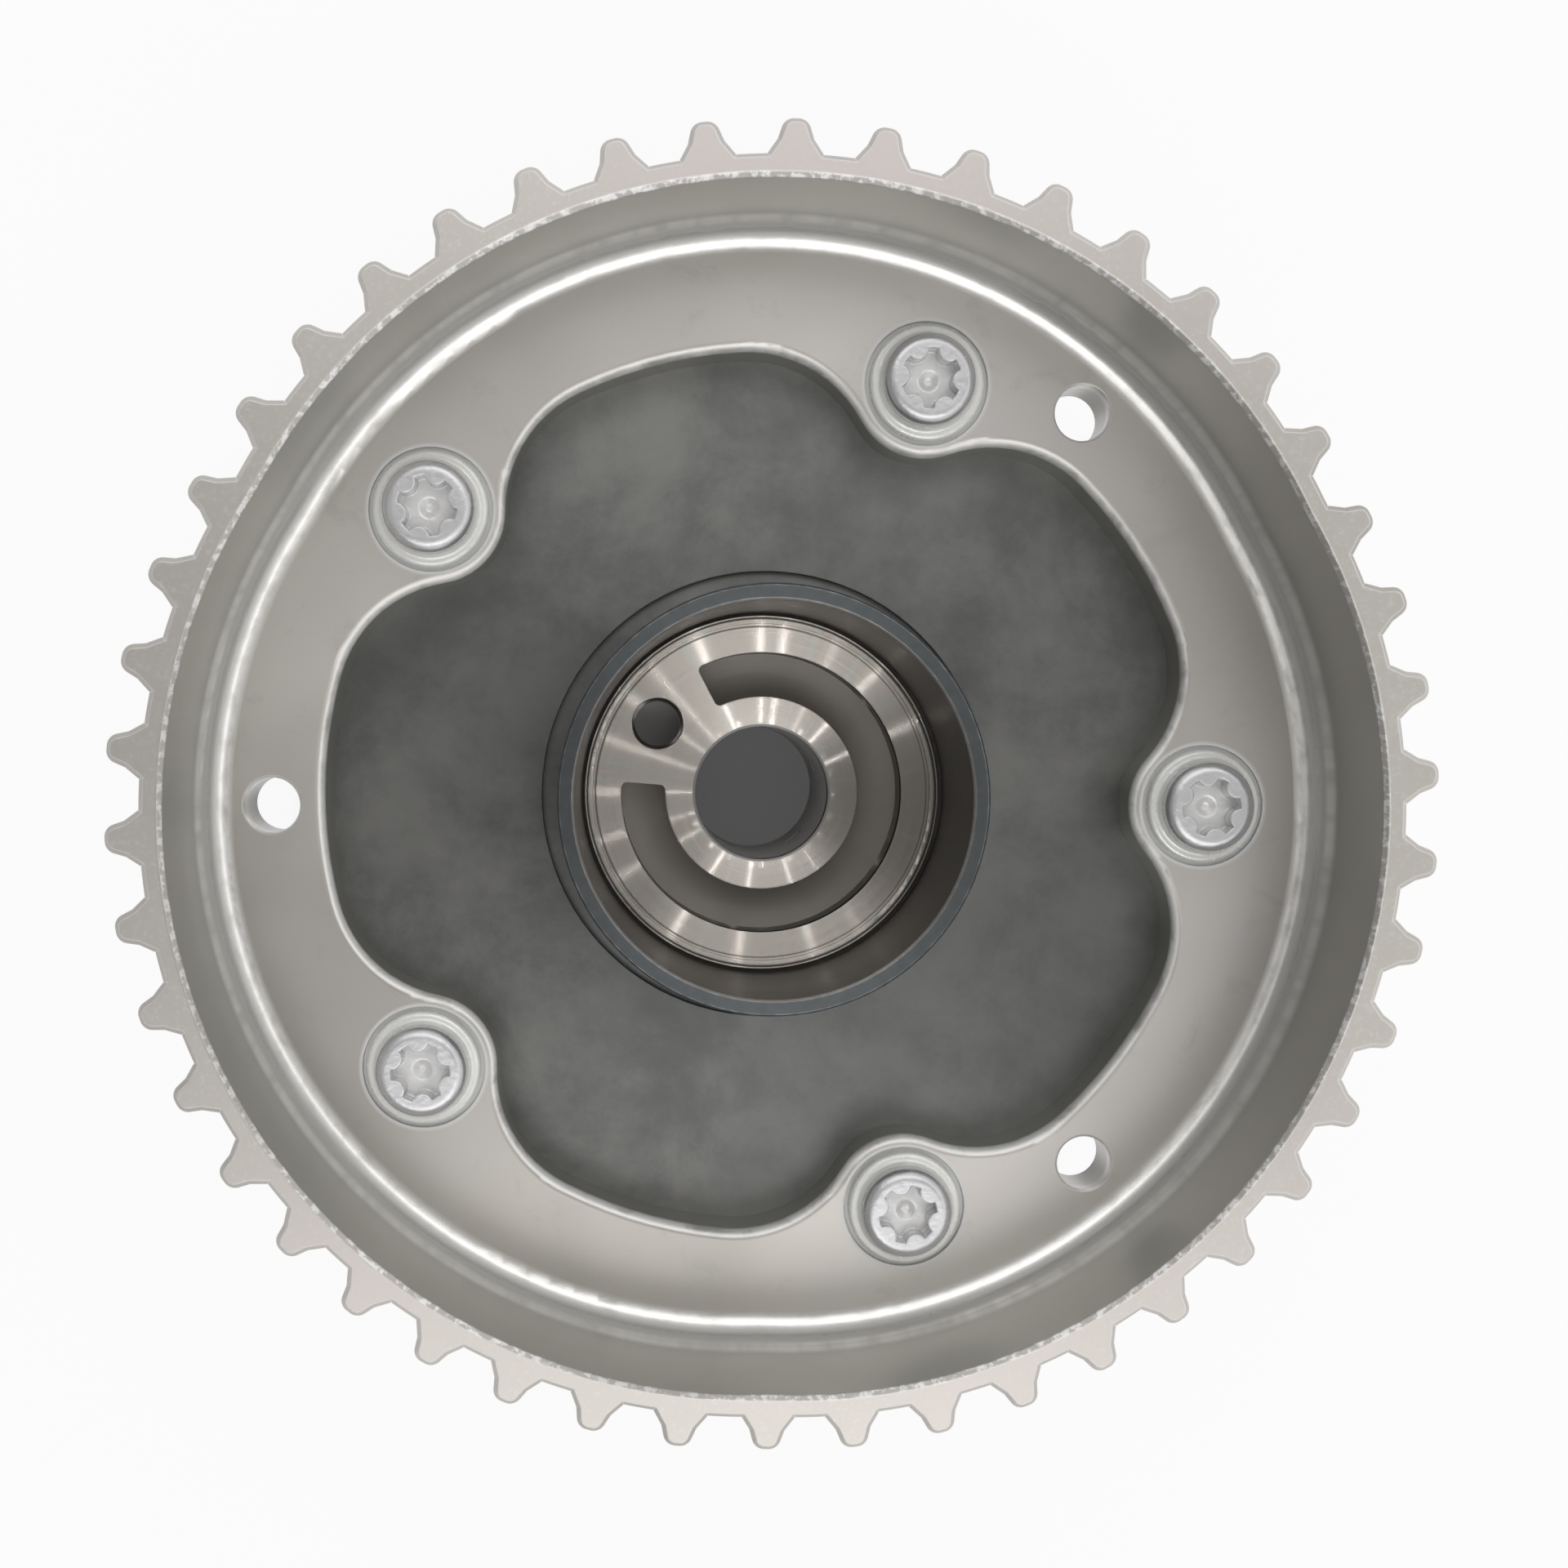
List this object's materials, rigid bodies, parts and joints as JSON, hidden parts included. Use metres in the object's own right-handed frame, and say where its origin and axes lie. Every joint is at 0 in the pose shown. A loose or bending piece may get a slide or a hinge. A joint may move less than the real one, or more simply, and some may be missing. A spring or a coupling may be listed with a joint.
{
  "type": "camshaft sprocket",
  "caption": "Camshaft sprocket with a three-lobed toothed cup for a timing chain, bolted to a closed vane housing that turns the camshaft a little to shift its timing.",
  "frame": {"origin": "centre of the rotor's centre bore, in the plane of the face that the camshaft's nose seats on", "axes": "+Z along the camshaft's axis, towards the camshaft; +X through the housing screw that lies opposite the lock pin"},
  "size_m": [0.1166, 0.1162, 0.05],
  "materials": {
    "sprocket_steel": "formed and ground steel",
    "dark_steel": "dark steam-treated steel",
    "housing_steel": "sintered steel",
    "rotor_steel": "turned sintered steel",
    "coated_screw": "light zinc flake coating",
    "hardened_steel": "ground",
    "spring_steel": "rolled",
    "seal_plastic": "filled fluoropolymer"
  },
  "bodies": {
    "housing": {"sprocket": "sprocket_steel", "rear_cover": "dark_steel", "stator": "housing_steel", "front_cover": "housing_steel", "housing_screw_1": "coated_screw", "housing_screw_2": "coated_screw", "housing_screw_3": "coated_screw", "housing_screw_4": "coated_screw", "housing_screw_5": "coated_screw", "web_seal_1": "seal_plastic", "web_seal_2": "seal_plastic", "web_seal_3": "seal_plastic", "web_seal_4": "seal_plastic", "web_seal_5": "seal_plastic", "web_seal_spring_1": "spring_steel", "web_seal_spring_2": "spring_steel", "web_seal_spring_3": "spring_steel", "web_seal_spring_4": "spring_steel", "web_seal_spring_5": "spring_steel", "lock_bush": "hardened_steel", "locating_pin": "hardened_steel"},
    "rotor": {"rotor": "rotor_steel", "vane_seal_1": "seal_plastic", "vane_seal_2": "seal_plastic", "vane_seal_3": "seal_plastic", "vane_seal_4": "seal_plastic", "vane_seal_5": "seal_plastic", "vane_seal_spring_1": "spring_steel", "vane_seal_spring_2": "spring_steel", "vane_seal_spring_3": "spring_steel", "vane_seal_spring_4": "spring_steel", "vane_seal_spring_5": "spring_steel", "lock_spring": "spring_steel", "lock_cap": "hardened_steel"},
    "lock_pin": {"lock_pin": "hardened_steel"}
  },
  "joints": [
    {"name": "rotor_phase", "type": "hinge", "parent": "housing", "child": "rotor", "pos_m": [0, 0, 0], "axis": [0, 0, 1], "range_deg": [-8.1, 16.9]},
    {"name": "lock_pin_slide", "type": "slide", "parent": "rotor", "child": "lock_pin", "axis": [0, 0, -1], "range_m": [0, 0.0034], "stiffness_N_per_m": 400, "springref_m": -0.005, "deforming": ["lock_spring"]}
  ]
}
